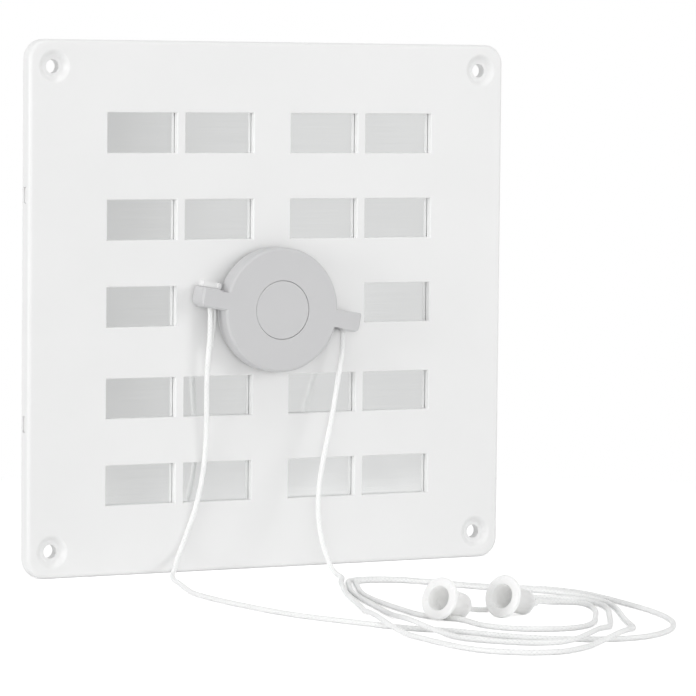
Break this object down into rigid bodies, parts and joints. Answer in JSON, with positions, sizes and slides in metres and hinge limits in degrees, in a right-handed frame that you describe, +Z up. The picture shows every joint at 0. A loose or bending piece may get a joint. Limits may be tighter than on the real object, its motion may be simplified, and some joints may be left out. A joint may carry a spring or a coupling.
{
  "type": "ventilation grille",
  "caption": "Square wall ventilation grille with a sliding shutter, worked by a turning hub with two pull cords.",
  "frame": {"origin": "centre of the four screw holes, on the wall plane at the back of the rim", "axes": "+X to the right seen from the room, +Y from the room into the wall, +Z up"},
  "size_m": [0.2, 0.2554, 0.2],
  "materials": {
    "white_moulding": "satin",
    "grey_moulding": "matte",
    "aluminium_sheet": "bright",
    "steel": "plated",
    "dark_fibre": "matte",
    "white_braid": "braided",
    "translucent_moulding": "milky"
  },
  "bodies": {
    "plate": {"front_plate": "white_moulding", "left_guide_rail": "white_moulding", "right_guide_rail": "white_moulding", "pivot_screw": "steel", "pivot_washer": "steel", "friction_washer": "dark_fibre", "left_cord": "white_braid", "right_cord": "white_braid", "left_pull": "translucent_moulding", "right_pull": "translucent_moulding", "left_pull_knot": "white_braid", "right_pull_knot": "white_braid"},
    "hub": {"hub": "grey_moulding", "centre_cap": "grey_moulding", "drive_pin": "steel", "left_ear_knot": "white_braid", "right_ear_knot": "white_braid"},
    "shutter": {"shutter": "aluminium_sheet"}
  },
  "joints": [
    {"name": "hub_turn", "type": "hinge", "parent": "plate", "child": "hub", "pos_m": [0, -0.006, -0.001], "axis": [0, -1, 0], "range_deg": [0, 47.9], "deforming": ["left_cord", "right_cord"]},
    {"name": "shutter_slide", "type": "slide", "parent": "plate", "child": "shutter", "axis": [0, 0, 1], "range_m": [0, 0.0163]}
  ],
  "couplings": [
    {"joint": "shutter_slide", "follows": "hub_turn", "m_per_rad": 0.01942}
  ]
}
